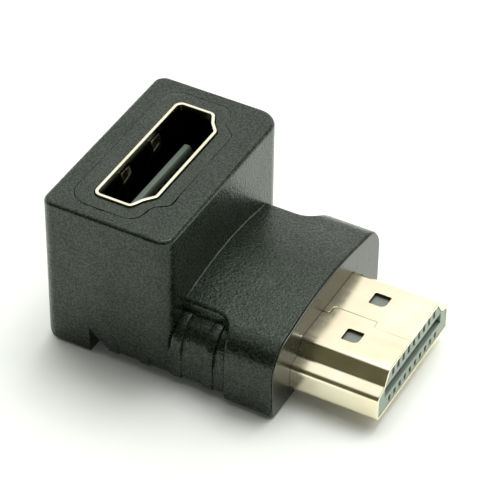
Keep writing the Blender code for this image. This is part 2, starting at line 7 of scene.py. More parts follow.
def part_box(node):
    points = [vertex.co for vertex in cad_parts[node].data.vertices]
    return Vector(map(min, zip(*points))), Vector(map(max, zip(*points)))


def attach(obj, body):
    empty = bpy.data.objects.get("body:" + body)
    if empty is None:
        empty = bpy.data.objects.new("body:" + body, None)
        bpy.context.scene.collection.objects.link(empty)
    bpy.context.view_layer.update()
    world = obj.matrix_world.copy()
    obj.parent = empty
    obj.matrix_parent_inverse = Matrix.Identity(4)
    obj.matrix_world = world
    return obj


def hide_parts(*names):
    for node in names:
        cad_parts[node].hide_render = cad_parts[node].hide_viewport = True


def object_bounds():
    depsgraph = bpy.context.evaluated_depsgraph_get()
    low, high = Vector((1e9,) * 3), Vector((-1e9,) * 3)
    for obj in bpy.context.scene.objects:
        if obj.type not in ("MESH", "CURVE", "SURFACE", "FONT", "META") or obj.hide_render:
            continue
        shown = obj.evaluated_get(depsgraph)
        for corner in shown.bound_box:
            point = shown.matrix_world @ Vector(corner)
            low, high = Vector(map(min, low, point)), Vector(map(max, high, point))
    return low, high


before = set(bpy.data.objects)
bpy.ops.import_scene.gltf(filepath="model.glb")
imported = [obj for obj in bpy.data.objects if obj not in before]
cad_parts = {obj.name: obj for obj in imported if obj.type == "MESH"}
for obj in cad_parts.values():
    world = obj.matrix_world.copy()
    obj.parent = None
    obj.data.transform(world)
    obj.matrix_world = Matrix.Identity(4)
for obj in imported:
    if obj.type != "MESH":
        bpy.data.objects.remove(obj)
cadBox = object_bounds()
print("frame loaded")

# Sizes are in mm. Lengths along X are counted from the back of the socket arm, which lies
# this far behind the frame's origin.
mm = 0.001
middle = -cadBox[0][0] / mm


# Lowest and highest corner of one of the frame's nodes, in those lengths.
def nodeBox(node):
    return [np.array(corner) / mm + (middle, 0, 0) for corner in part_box(node)]


bodyLow, bodyHigh = nodeBox("overmould_body")
plateHigh = nodeBox("plug_end_plate")[1]
plugLow, plugHigh = nodeBox("plug_shell")
socketLow, socketHigh = nodeBox("socket_shell")
tongueLow, tongueHigh = nodeBox("socket_insulator")
boardLow, boardHigh = nodeBox("link_board")
sheet = 0.3  # thickness of the sheet that both shells are folded from
parting = 2.9  # height of the line where the mould's halves met
overrun = 1.0  # how far a cutter runs past what it cuts
touching = 1e-7  # points closer than this, in metres, are one


# Outline with an arc at each corner (u, v, radius): the arc's centre lies on the corner's
# bisector at radius / sin(half the angle), and the arc is swept between its touch points. It
# takes no more than a share of the shorter side beside it.
def roundOutline(corners, steps=10, share=0.48, least=0.004):
    points = np.array([c[:2] for c in corners], float)
    radii = np.array([c[2] for c in corners], float)
    back = np.roll(points, 1, axis=0) - points
    ahead = np.roll(points, -1, axis=0) - points
    backLength = np.linalg.norm(back, axis=1)
    aheadLength = np.linalg.norm(ahead, axis=1)
    back /= backLength[:, None]
    ahead /= aheadLength[:, None]
    half = np.arccos(np.clip((back * ahead).sum(1), -1, 1)) / 2
    room = share * np.minimum(backLength, aheadLength) * np.tan(half)
    radii = np.clip(np.minimum(radii, room), least, None)
    bisector = back + ahead
    bisector /= np.linalg.norm(bisector, axis=1)[:, None]
    centre = points + bisector * (radii / np.sin(half))[:, None]
    reach = (radii / np.tan(half))[:, None]
    first = points + back * reach - centre
    last = points + ahead * reach - centre
    cross = first[:, 0] * last[:, 1] - first[:, 1] * last[:, 0]
    turn = np.arctan2(cross, (first * last).sum(1))[:, None] * np.linspace(0, 1, steps + 1)
    u = centre[:, :1] + first[:, :1] * np.cos(turn) - first[:, 1:] * np.sin(turn)
    v = centre[:, 1:] + first[:, :1] * np.sin(turn) + first[:, 1:] * np.cos(turn)
    return np.stack([u, v], -1).reshape(-1, 2)


# Outline moved outwards by a distance: each corner goes along its bisector by
# distance / cos(half the turn), and its radius follows, so the outlines stay parallel.
def growCorners(corners, distance, least=0.02):
    points = np.array([c[:2] for c in corners], float)
    sideIn = points - np.roll(points, 1, axis=0)
    sideOut = np.roll(points, -1, axis=0) - points
    sideIn /= np.linalg.norm(sideIn, axis=1)[:, None]
    sideOut /= np.linalg.norm(sideOut, axis=1)[:, None]
    normalIn = np.stack([sideIn[:, 1], -sideIn[:, 0]], 1)
    normalOut = np.stack([sideOut[:, 1], -sideOut[:, 0]], 1)
    bisector = normalIn + normalOut
    bisector /= np.linalg.norm(bisector, axis=1)[:, None]
    moved = points + bisector * (distance / (bisector * normalIn).sum(1))[:, None]
    convex = sideIn[:, 0] * sideOut[:, 1] - sideIn[:, 1] * sideOut[:, 0] > 0
    radii = np.array([c[2] for c in corners]) + np.where(convex, distance, -distance)
    return [(u, v, max(r, least)) for (u, v), r in zip(moved, radii)]


# The same closed outline as a number of points at an even spacing, read off its length.
def evenOutline(outline, count):
    closed = np.vstack([outline, outline[:1]])
    length = np.concatenate([[0], np.cumsum(np.linalg.norm(np.diff(closed, axis=0), axis=1))])
    at = np.linspace(0, length[-1], count, endpoint=False)
    return np.stack([np.interp(at, length, closed[:, k]) for k in (0, 1)], 1)


# A half outline, listed along its positive side, and its mirror image.
def bothSides(half, axis):
    other = [(u, -v, r) if axis == 1 else (-u, v, r) for u, v, r in reversed(half)]
    return half + other


# Wander of a line: a sum of sines, each given as (share, pitch, start).
def wanderAlong(at, waves):
    return sum(share * np.sin(pitch * at + start) for share, pitch, start in waves)


# Band along a path, its width one number or one for each point: the two edges lie half the
# width to either side.
def bandOutline(path, width):
    path = np.asarray(path, float)
    step = np.diff(path, axis=0)
    step /= np.linalg.norm(step, axis=1)[:, None]
    along = np.vstack([step[:1], step[1:] + step[:-1], step[-1:]])
    along /= np.linalg.norm(along, axis=1)[:, None]
    normal = np.stack([-along[:, 1], along[:, 0]], 1) * width / 2
    return np.vstack([path + normal, (path - normal)[::-1]])


# Levels of a rounded edge as (distance from the face, inset): a quarter circle.
def edgeLevels(radius, steps):
    turn = np.linspace(0, np.pi / 2, steps + 1)
    return list(zip(radius * (1 - np.sin(turn)), radius * (1 - np.cos(turn))))


# One ring of a surface: an outline put at a station on the x, y or z axis.
def ring(outline, station, axis):
    return np.insert(np.asarray(outline, float), axis, station, axis=1)


# Rings of the rounded edge at a face, up the axis: each level's outline is drawn in by its
# inset. At a foot they stand above the face. A hole's open up instead, and run down.
def edgeRings(corners, face, axis, radius, steps=5, arc=10, hole=False, foot=False):
    levels = sorted(edgeLevels(radius, steps), reverse=not (hole or foot))
    return [ring(roundOutline(growCorners(corners, inset if hole else -inset), arc),
                 face + along if foot else face - along, axis) for along, inset in levels]


def newObject(name, data):
    thing = bpy.data.objects.new(name, data)
    bpy.context.scene.collection.objects.link(thing)
    return thing


def mergePoints(mesh, distance, outwards=False):
    shape = bmesh.new()
    shape.from_mesh(mesh)
    bmesh.ops.remove_doubles(shape, verts=shape.verts, dist=distance)
    if outwards:
        bmesh.ops.recalc_face_normals(shape, faces=shape.faces)
    shape.to_mesh(mesh)
    shape.free()


# Closed surface through a stack of rings: rows run along the stack and columns round it.
# A looped stack joins its last ring to its first, and an open one gets an end face each.
def stackSurface(name, rings, looped=False):
    grid = np.stack(rings)
    rows, columns = grid.shape[:2]
    index = np.arange(rows * columns).reshape(rows, columns)
    low = index if looped else index[:-1]
    high = np.roll(index, -1, axis=0) if looped else index[1:]
    faces = np.stack([low, np.roll(low, -1, axis=1), np.roll(high, -1, axis=1), high], -1)
    faces = faces.reshape(-1, 4).tolist()
    if not looped:
        faces += [index[0].tolist(), index[-1].tolist()]
    points = grid.reshape(-1, 3) - (middle, 0, 0)
    mesh = bpy.data.meshes.new(name)
    mesh.from_pydata((points * mm).tolist(), [], faces)
    mergePoints(mesh, touching, outwards=True)
    return newObject(name, mesh)


def prism(name, outline, low, high, axis):
    return stackSurface(name, [ring(outline, low, axis), ring(outline, high, axis)])


def blockBetween(name, low, high):
    outline = [(low[0], low[1]), (high[0], low[1]), (high[0], high[1]), (low[0], high[1])]
    return prism(name, outline, low[2], high[2], 2)


# Several tools as one mesh, so that one Boolean does them all.
def together(name, tools):
    shape = bmesh.new()
    for tool in tools:
        shape.from_mesh(tool.data)
        bpy.data.objects.remove(tool)
    mesh = bpy.data.meshes.new(name)
    shape.to_mesh(mesh)
    shape.free()
    return newObject(name, mesh)


# The piece's mesh as its modifiers leave it.
def settle(piece):
    bpy.context.view_layer.update()
    done = piece.evaluated_get(bpy.context.evaluated_depsgraph_get())
    mesh = bpy.data.meshes.new_from_object(done)
    piece.modifiers.clear()
    piece.data = mesh


def carve(piece, tool, operation="DIFFERENCE"):
    modifier = piece.modifiers.new("carve", "BOOLEAN")
    modifier.operation = operation
    modifier.solver = "EXACT"
    modifier.object = tool
    settle(piece)
    bpy.data.objects.remove(tool)


finish = {"bevelAngle": 55, "sharpAngle": 38, "evenWeight": 60}


# Close the doubles, round the cut edges a little, and shade with the flat faces flat.
def finishPiece(piece, material, node=None, bevel=0.0):
    mergePoints(piece.data, 2 * touching)
    if bevel:
        edge = piece.modifiers.new("edge", "BEVEL")
        edge.width = bevel * mm
        edge.segments = 2
        edge.limit_method = "ANGLE"
        edge.angle_limit = np.radians(finish["bevelAngle"])
        edge.use_clamp_overlap = True
        settle(piece)
    piece.data.materials.clear()
    piece.data.materials.append(material)
    piece.data.shade_smooth()
    piece.data.set_sharp_from_angle(angle=float(np.radians(finish["sharpAngle"])))
    even = piece.modifiers.new("even", "WEIGHTED_NORMAL")
    even.keep_sharp = True
    even.weight = finish["evenWeight"]
    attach(piece, "root")
    if node:
        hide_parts(node)
    print("made", piece.name, len(piece.data.polygons), "faces")


# A second finish on the faces that a test of their centres and normals picks.
def secondFinish(piece, material, picks):
    faces = piece.data.polygons
    centres, normals = np.empty(3 * len(faces)), np.empty(3 * len(faces))
    faces.foreach_get("center", centres)
    faces.foreach_get("normal", normals)
    picked = picks(centres.reshape(-1, 3) / mm + (middle, 0, 0), normals.reshape(-1, 3))
    piece.data.materials.append(material)
    faces.foreach_set("material_index", picked.astype(np.int32))


# Add a node: inN sets or links its Nth input, and any other name sets one of its properties.
def addNode(tree, kind, **values):
    node = tree.nodes.new(kind)
    for key, value in values.items():
        if not key[2:].isdigit():
            setattr(node, key, value)
        elif isinstance(value, bpy.types.NodeSocket):
            tree.links.new(value, node.inputs[int(key[2:])])
        else:
            node.inputs[int(key[2:])].default_value = value
    return node


def objectPlace(tree):
    return addNode(tree, "ShaderNodeTexCoord").outputs["Object"]


def calculate(tree, operation, first, second=0.0, clamp=False):
    return addNode(tree, "ShaderNodeMath", operation=operation, use_clamp=clamp,
                   in0=first, in1=second).outputs[0]


def noise(tree, place, scale, detail, roughness=0.5):
    return addNode(tree, "ShaderNodeTexNoise", in0=place, in2=scale, in3=detail,
                   in4=roughness).outputs[0]


# A value that goes from one level to another, as one that goes from a start to an end.
def spread(tree, value, low, high, start=0.0, end=1.0, curve="LINEAR"):
    return addNode(tree, "ShaderNodeMapRange", interpolation_type=curve, in0=value, in1=low,
                   in2=high, in3=start, in4=end).outputs[0]


# Shader groups. Each is built once and placed in the materials with their own values. Inputs
# are given with their first values, and outputs by name.
def newGroup(name, inputs, outputs):
    tree = bpy.data.node_groups.new(name, "ShaderNodeTree")
    for label, value in inputs.items():
        kind = "NodeSocketVector" if isinstance(value, tuple) else "NodeSocketFloat"
        socket = tree.interface.new_socket(label, in_out="INPUT", socket_type=kind)
        socket.default_value = value
    for label in outputs:
        tree.interface.new_socket(label, in_out="OUTPUT", socket_type="NodeSocketFloat")
    return tree, tree.nodes.new("NodeGroupInput").outputs, tree.nodes.new("NodeGroupOutput").inputs


# Spark-eroded mould grain: noise and fine cells added as a height, and a tone that clouds
# slowly over the surface and speckles with the grain.
def grainGroup():
    tree, given, out = newGroup(
        "mouldGrain", {"Scale": 7000.0, "Pits": 0.5, "Clouds": 0.5, "Specks": 0.5}, ["Height", "Tone"])
    place = objectPlace(tree)
    fine = noise(tree, place, given["Scale"], 3.0, 0.65)
    cellScale = calculate(tree, "MULTIPLY", given["Scale"], 0.8)
    cells = addNode(tree, "ShaderNodeTexVoronoi", feature="SMOOTH_F1", in0=place, in2=cellScale)
    pits = calculate(tree, "MULTIPLY", cells.outputs["Distance"], given["Pits"])
    tree.links.new(calculate(tree, "ADD", fine, pits), out["Height"])
    clouds = spread(tree, noise(tree, place, 420.0, 3.0), 0.3, 0.7, end=given["Clouds"])
    specks = spread(tree, fine, 0.40, 0.60, end=given["Specks"])
    tree.links.new(calculate(tree, "ADD", clouds, specks), out["Tone"])
    return tree


# Plated sheet: faint rolling marks along one axis, and slow clouding.
def platingGroup():
    tree, given, out = newGroup(
        "platedSheet", {"Stretch": (1.0, 1.0, 1.0), "Scale": 900.0}, ["Height", "Cloud"])
    place = objectPlace(tree)
    along = addNode(tree, "ShaderNodeVectorMath", operation="MULTIPLY", in0=place, in1=given["Stretch"])
    tree.links.new(noise(tree, along.outputs[0], given["Scale"], 4.0, 0.6), out["Height"])
    tree.links.new(spread(tree, noise(tree, place, 260.0, 2.0), 0.35, 0.65), out["Cloud"])
    return tree


# Line at one height where the mould's halves met: a band in Z, broken up by slow noise.
def partingGroup():
    tree, given, out = newGroup("partingMark", {"Level": 0.0029, "Width": 0.00004}, ["Mask"])
    place = objectPlace(tree)
    height = addNode(tree, "ShaderNodeSeparateXYZ", in0=place).outputs["Z"]
    away = calculate(tree, "ABSOLUTE", calculate(tree, "SUBTRACT", height, given["Level"]))
    band = spread(tree, calculate(tree, "DIVIDE", away, given["Width"]), 0.5, 1.0, 1.0, 0.0)
    patches = spread(tree, noise(tree, place, 380.0, 2.0), 0.35, 0.62, 0.15, 1.0)
    tree.links.new(calculate(tree, "MULTIPLY", band, patches), out["Mask"])
    return tree


# Depth behind a level along a direction, as 0 before it and 1 once the fade is passed. It masks the
# painted shade of recesses.
def depthGroup():
    tree, given, out = newGroup(
        "depthShade", {"Way": (0.0, 0.0, 1.0), "Level": 0.0155, "Fade": 0.001}, ["Depth"])
    along = addNode(tree, "ShaderNodeVectorMath", operation="DOT_PRODUCT", in0=objectPlace(tree),
                    in1=given["Way"])
    behind = calculate(tree, "SUBTRACT", given["Level"], along.outputs["Value"])
    tree.links.new(calculate(tree, "DIVIDE", behind, given["Fade"], clamp=True), out["Depth"])
    return tree


mouldGrain = grainGroup()
platedSheet = platingGroup()
partingMark = partingGroup()
depthShade = depthGroup()


def newMaterial(name, constants):
    material = bpy.data.materials.new(name)
    material.use_nodes = True
    shader = material.node_tree.nodes["Principled BSDF"]
    for label, value in constants.items():
        shader.inputs[label].default_value = value
    return material, material.node_tree, shader


def addGroup(tree, group, **values):
    node = addNode(tree, "ShaderNodeGroup", node_tree=group)
    for label, value in values.items():
        node.inputs[label].default_value = value
    return node


# Mix by a mask of two colours, each of them written or linked.
def mixColor(tree, mask, first, second):
    first, second = [(*color, 1) if isinstance(color, tuple) else color for color in (first, second)]
    return addNode(tree, "ShaderNodeMix", data_type="RGBA", in0=mask, in6=first, in7=second).outputs[2]


def addRelief(tree, shader, height, strength, distance):
    relief = addNode(tree, "ShaderNodeBump", in0=strength)
    relief.inputs["Distance"].default_value = distance * mm
    tree.links.new(height, relief.inputs["Height"])
    tree.links.new(relief.outputs[0], shader.inputs["Normal"])


# Painted shade: the colour behind a level goes over to a darker one, standing in for the shade down in a
# recess. Depth is (direction, level, fade).
def darkenBehind(tree, color, look):
    if "depth" not in look:
        return color
    way, level, fade = look["depth"]
    depth = addGroup(tree, depthShade, Way=way, Level=level * mm, Fade=fade * mm)
    return mixColor(tree, depth.outputs[0], color, look["paintedShadeColor"])


# Moulded plastic: two near colours by the grain's tone, painted shade behind a level where the look gives
# a depth, and the grain as a bump. The constants are set on the shader itself.
def mouldedPlastic(name, look, constants):
    material, tree, shader = newMaterial(name, constants)
    grain = addGroup(tree, mouldGrain, Scale=look["grain"], Pits=look["pits"],
                     Clouds=look["clouds"], Specks=look["specks"])
    height, tone = grain.outputs["Height"], grain.outputs["Tone"]
    color = mixColor(tree, tone, look["dark"], look["light"])
    if "parting" in look:
        mark = addGroup(tree, partingMark, Level=look["parting"] * mm)
        color = mixColor(tree, mark.outputs[0], color, look["partingColor"])
        height = calculate(tree, "SUBTRACT", height, mark.outputs[0])
    tree.links.new(darkenBehind(tree, color, look), shader.inputs["Base Color"])
    tree.links.new(spread(tree, tone, 0.0, 1.0, *look["rough"]), shader.inputs["Roughness"])
    if "flecks" in look:
        tree.links.new(spread(tree, tone, 0.0, 1.0, *look["flecks"]), shader.inputs["Coat Weight"])
    addRelief(tree, shader, height, *look["relief"])
    return material


# Gold plating: two near golds by the clouding, painted shade behind a level where the look gives a depth,
# and the rolling marks in gloss and bump.
def platedMetal(name, look):
    material, tree, shader = newMaterial(name, {"Metallic": 1.0})
    plating = addGroup(tree, platedSheet, Stretch=look["stretch"], Scale=look["marks"])
    height = plating.outputs["Height"]
    color = mixColor(tree, plating.outputs["Cloud"], look["dark"], look["light"])
    tree.links.new(darkenBehind(tree, color, look), shader.inputs["Base Color"])
    tree.links.new(spread(tree, height, 0.3, 0.7, *look["rough"]), shader.inputs["Roughness"])
    addRelief(tree, shader, height, *look["relief"])
    return material


# Directions and levels that the painted shade by depth starts from. X is the frame's own here.
upward, toTip = (0.0, 0.0, 1.0), (1.0, 0.0, 0.0)
tipLevel, rimLevel, tongueLevel = plugHigh[0] - middle, socketHigh[2], tongueHigh[2]
mouldSheen = {"Specular IOR Level": 0.33, "Specular Tint": (0.82, 1.0, 0.80, 1), "Coat Roughness": 0.22}
overmouldBlack = mouldedPlastic("overmouldBlack", {
    "dark": (0.002, 0.004, 0.002), "light": (0.018, 0.025, 0.017), "rough": (0.20, 0.30),
    "grain": 5200.0, "pits": 0.8, "clouds": 0.20, "specks": 0.80, "flecks": (0.0, 0.6),
    "relief": (1.0, 0.035), "parting": parting, "partingColor": (0.002, 0.003, 0.002)}, mouldSheen)
surroundBlack = mouldedPlastic("surroundBlack", {
    "dark": (0.003, 0.006, 0.003), "light": (0.020, 0.027, 0.019), "rough": (0.22, 0.32),
    "grain": 6500.0, "pits": 0.6, "clouds": 0.2, "specks": 0.8, "flecks": (0.0, 0.6),
    "relief": (0.9, 0.04)}, mouldSheen)
endPlateGloss = mouldedPlastic("endPlateGloss", {
    "dark": (0.014, 0.017, 0.011), "light": (0.022, 0.026, 0.017), "rough": (0.24, 0.30),
    "grain": 2500.0, "pits": 0.2, "clouds": 0.6, "specks": 0.2, "relief": (0.1, 0.01)},
    {"Specular IOR Level": 0.9})
# Grey far lighter than the overmould, for the flash bead: a painted highlight.
flashHighlightGrey = mouldedPlastic("flashHighlightGrey", {
    "dark": (0.06, 0.07, 0.058), "light": (0.13, 0.145, 0.125), "rough": (0.25, 0.35),
    "grain": 2500.0, "pits": 0.3, "clouds": 0.6, "specks": 0.4, "relief": (0.3, 0.01)}, {})
# Behind the tip the insulator goes darker: painted shade in its slots and latch holes.
plugInsulatorGrey = mouldedPlastic("plugInsulatorGrey", {
    "dark": (0.28, 0.34, 0.29), "light": (0.37, 0.43, 0.37), "rough": (0.40, 0.50),
    "grain": 5000.0, "pits": 0.3, "clouds": 0.4, "specks": 0.5, "relief": (0.3, 0.01),
    "depth": (toTip, tipLevel - 0.1, 0.5), "paintedShadeColor": (0.20, 0.215, 0.195)}, {})
# Painted shade: the insulator grey made far darker in the socket, near black down the tongue's sides.
tongueShadedGrey = mouldedPlastic("tongueShadedGrey", {
    "dark": (0.09, 0.12, 0.10), "light": (0.12, 0.155, 0.13), "rough": (0.40, 0.50),
    "grain": 5000.0, "pits": 0.3, "clouds": 0.4, "specks": 0.5, "relief": (0.3, 0.01),
    "depth": (upward, tongueLevel - 0.02, 0.25), "paintedShadeColor": (0.014, 0.017, 0.012)}, {})
shellGold = platedMetal("shellGold", {
    "dark": (0.94, 0.85, 0.61), "light": (0.99, 0.94, 0.73), "rough": (0.17, 0.25),
    "stretch": (0.25, 1.0, 1.0), "marks": 1300.0, "relief": (0.16, 0.015)})
# Dark gold for the latch holes' punched walls: painted shade.
latchWallShadeGold = platedMetal("latchWallShadeGold", {
    "dark": (0.10, 0.08, 0.035), "light": (0.20, 0.16, 0.08), "rough": (0.30, 0.45),
    "stretch": (1.0, 1.0, 1.0), "marks": 1500.0, "relief": (0.2, 0.01)})
# Below the rim the socket's gold goes over to near black: painted shade inside the socket.
socketGold = platedMetal("socketGold", {
    "dark": (0.95, 0.89, 0.66), "light": (0.99, 0.96, 0.78), "rough": (0.18, 0.26),
    "stretch": (1.0, 0.2, 1.0), "marks": 900.0, "relief": (0.10, 0.01),
    "depth": (upward, rimLevel - 0.12, 0.7), "paintedShadeColor": (0.045, 0.04, 0.018)})
# Springs keep their gold deeper than the wall round them, a painted glint, then fade to painted shade.
springGlintGold = platedMetal("springGlintGold", {
    "dark": (0.60, 0.52, 0.34), "light": (0.78, 0.70, 0.50), "rough": (0.15, 0.25),
    "stretch": (1.0, 1.0, 0.3), "marks": 900.0, "relief": (0.10, 0.01),
    "depth": (upward, rimLevel - 1.6, 1.2), "paintedShadeColor": (0.05, 0.045, 0.02)})
# Contacts behind the plug's tip go near black: painted shade in the slots.
contactGold = platedMetal("contactGold", {
    "dark": (0.42, 0.33, 0.16), "light": (0.52, 0.42, 0.22), "rough": (0.25, 0.35),
    "stretch": (0.2, 1.0, 1.0), "marks": 900.0, "relief": (0.05, 0.005),
    "depth": (toTip, tipLevel - 0.2, 0.4), "paintedShadeColor": (0.02, 0.018, 0.01)})
boardGreen = mouldedPlastic("boardGreen", {
    "dark": (0.03, 0.12, 0.05), "light": (0.05, 0.18, 0.08), "rough": (0.30, 0.40),
    "grain": 3000.0, "pits": 0.3, "clouds": 0.6, "specks": 0.3, "relief": (0.2, 0.01)}, {})
print("materials made")

# The two connectors' profiles. Radii are listed from the wide side on.
plug = {
    "base": plugLow[2], "height": plugHigh[2] - plugLow[2], "width": plugHigh[1] - plugLow[1],
    "rear": plugLow[0], "tip": plugHigh[0], "gap": 0.06, "lip": 0.09, "innerLipShare": 0.7,
    "side": 2.62, "step": 3.12, "stepHalf": 5.7, "narrowHalf": 4.9, "radii": (0.55, 0.7, 0.45, 0.45),
    "edge": 0.03,
}
socket = {
    "back": socketLow[0], "start": socketLow[0] + sheet, "rim": socketHigh[2], "bottom": socketLow[2],
    "width": socketHigh[1] - socketLow[1] - 2 * sheet, "opening": socketHigh[0] - socketLow[0] - 2 * sheet,
    "side": 3.25, "knee": 3.8, "kneeHalf": 5.95, "narrowHalf": 5.05, "radii": (0.45, 0.35, 0.8, 0.5),
    "gap": 0.09, "lip": 0.06, "edge": 0.03,
}
surround = {
    "margin": 1.38, "backMargin": 1.7, "shoulder": 1.3, "knee": 0.4, "radii": (1.9, 1.6, 1.2, 0.9),
    "depth": 3.0, "top": bodyHigh[2], "edge": 0.04, "mouthEdgeShare": 1.5,
    "seam": 0.05, "leastSeam": 0.008, "seamWander": 0.04, "mouthPoints": 380,
    "waves": [(0.5, 5, 0.6), (0.3, 13, 0.0), (0.2, 31, 2.0)],
    "backFrom": 5.5, "backRun": 4.0, "backTight": 0.8, "nearRun": 7.0, "nearWide": (0.6, 1.6),
}


def plugCorners():
    base, half, radii = plug["base"], plug["width"] / 2, plug["radii"]
    return bothSides([
        (half, base, radii[0]),
        (half, base + plug["side"], radii[1]),
        (plug["stepHalf"], base + plug["step"], radii[2]),
        (plug["narrowHalf"], base + plug["height"], radii[3]),
    ], 0)


def socketCorners():
    start, radii = socket["start"], socket["radii"]
    return bothSides([
        (start, -socket["width"] / 2, radii[0]),
        (start + socket["side"], -socket["width"] / 2, radii[1]),
        (start + socket["knee"], -socket["kneeHalf"], radii[2]),
        (start + socket["opening"], -socket["narrowHalf"], radii[3]),
    ], 1)


def surroundCorners():
    start, margin, radii = socket["start"], surround["margin"], surround["radii"]
    side = socket["width"] / 2 + sheet + margin
    knee = surround["knee"]
    front = start + socket["opening"] + sheet + margin
    return bothSides([
        (socket["back"] - surround["backMargin"], -side, radii[0]),
        (start + socket["side"] + surround["shoulder"], -side, radii[1]),
        (start + socket["knee"] + margin - knee / 2, -socket["kneeHalf"] - knee, radii[2]),
        (front, -socket["narrowHalf"] - knee, radii[3]),
    ], 1)


# The overmould: the forms of the frame's solid with finer arcs. Its near front corner is
# sharper than there, its sole edge and the ribs' tops are rounder, and the grooves shallow out
# at the parting line.
body = {
    "width": bodyHigh[1] - bodyLow[1], "height": bodyHigh[2], "depth": 12.5, "end": plateHigh[0],
    "backRadius": 1.1, "frontRadius": 2.1, "nearRadius": 1.25, "topEdge": 0.4, "footEdge": 0.35,
    "heel": 4.5, "heelRound": 1.7, "notchTop": 2.85, "notchRun": 1.8, "notchBend": (0.28, 0.6),
    "notchOver": 0.3, "block": 17.6, "blockChamfer": 0.2, "shoulder": 7.0, "ridge": 8.75,
    "shoulderRadius": 2.8, "crownRadius": 30.0, "soleEdge": 0.9, "endEdge": 0.12,
    "plateRim": 0.1, "plateEdge": 0.06, "fitGap": 0.06, "bossWall": 0.5, "bossLength": 1.2,
    "neckHalf": 7.5, "neckEdge": 0.35, "neckFrom": 0.6, "neckDrop": 0.02, "neckEndDrop": 0.04,
    "flare": 2.2, "flareAngle": 80, "ledge": 6.45,
    "ribs": 4, "ribWidth": 0.95, "ribFlank": 0.08, "ribInset": 0.15, "ribTop": 2.8, "ribBelly": 0.45,
    "ribSole": 0.55, "ribPoints": 300, "ribsBack": 0.3, "flankOver": 0.06,
    "groove": 0.4, "bellyGroove": 0.14, "grooveTop": 2.75, "grooveBelly": 0.4, "grooveDrop": 0.05,
    "bellyStep": 0.1, "bellyInset": 0.4, "bellyRadius": 0.45, "bellySink": 0.02, "bellyRim": 0.01,
    "fadeLow": 0.1, "fadeHigh": 1.0,
    "boardBelow": 0.25, "boardAbove": 0.5, "boardShort": 0.2, "boreOver": 0.3, "wellOver": 0.5,
}


# Section across the plug arm, seen along X: a low crown over straight sides.
def armCorners(side, sole):
    slope = (body["ridge"] - body["shoulder"]) / (body["width"] / 2)
    top = body["ridge"] - slope * side
    return [(-side, sole, body["soleEdge"]), (side, sole, body["soleEdge"]),
            (side, top, body["shoulderRadius"]), (0.0, body["ridge"], body["crownRadius"]),
            (-side, top, body["shoulderRadius"])]


# Height of the plug arm's top over y, read off its section.
def armTop(y):
    outline = roundOutline(armCorners(body["width"] / 2, 0.0), 24)
    top = outline[(outline[:, 1] > body["shoulder"] / 2) & (outline[:, 0] >= -1e-6)]
    top = top[np.argsort(top[:, 0])]
    return np.interp(np.abs(y), top[:, 0], top[:, 1])


# Upright: a rounded rectangle carried up Z, with quarter circles round its foot and its top.
def uprightForm():
    half = body["width"] / 2
    corners = [(0.0, -half, body["backRadius"]), (body["depth"], -half, body["nearRadius"]),
               (body["depth"], half, body["frontRadius"]), (0.0, half, body["backRadius"])]
    rings = edgeRings(corners, 0.0, 2, body["footEdge"], foot=True)
    rings += edgeRings(corners, body["height"], 2, body["topEdge"])
    return stackSurface("overmouldSkin", rings)


# Belly under the socket arm: the sides lean in below the mould's parting line.
def bellyTool():
    half, below = body["width"] / 2, -2 * overrun
    far, rim, inner = half + 2 * overrun, half + body["bellyRim"], half - body["bellyInset"]
    ceiling = body["ribSole"] + body["bellyStep"] - body["bellySink"]
    outline = roundOutline([
        (-far, below, 0), (far, below, 0), (far, parting, 0), (rim, parting, 0),
        (inner, ceiling, body["bellyRadius"]), (-inner, ceiling, body["bellyRadius"]),
        (-rim, parting, 0), (-far, parting, 0)])
    return prism("bellyTool", outline, body["heel"], body["depth"] + 2 * overrun, 0)


# Ribs and grooves: one row of sections along X, each flank a short rounded slope.
def ribForm():
    side, sole, ledge = body["width"] / 2 - body["ribInset"], body["ribSole"], body["ledge"]

    # Rounded section, stretched in Y by a smooth step of the height below the parting line, so
    # that its sides stand further out there.
    def section(half, bottom, top, bottomRound, topRound, fuller=0.0):
        outline = roundOutline(bothSides([(half, bottom, bottomRound), (half, top, topRound)], 0), 24)
        outline = evenOutline(outline, body["ribPoints"])
        fade = (parting + body["fadeHigh"] - outline[:, 1]) / (body["fadeHigh"] + body["fadeLow"])
        fade = np.clip(fade, 0.0, 1.0)
        outline[:, 0] *= 1 + fuller / half * fade * fade * (3 - 2 * fade)
        return outline

    rib = section(side, sole, ledge, body["ribBelly"], body["ribTop"])
    groove = section(side - body["groove"], sole + body["bellyStep"], ledge - body["grooveDrop"],
                     body["grooveBelly"], body["grooveTop"], body["groove"] - body["bellyGroove"])
    start, width = body["heel"] + body["notchRun"], body["ribWidth"]
    # The gap between the last rib and the end block is half as wide as the others.
    gap = (body["block"] - start - body["ribs"] * width) / (body["ribs"] - 0.5)
    flank = body["ribFlank"]
    run = flank + body["flankOver"]
    blend = [(0.0, 0.0), (0.3, 0.6), (0.65, 0.9), (1.0, 1.0)]  # (share of the run, share of the height)
    rings = [ring(groove, body["heel"] + body["ribsBack"], 0)]
    for i in range(body["ribs"]):
        x = start + i * (width + gap)
        rings += [ring(groove + (rib - groove) * s, x - flank + run * t, 0) for t, s in blend]
        rings += [ring(groove + (rib - groove) * s, x + width + flank - run * t, 0)
                  for t, s in blend[::-1]]
    rings.append(ring(groove, body["block"] + body["blockChamfer"], 0))
    return stackSurface("ribForm", rings)


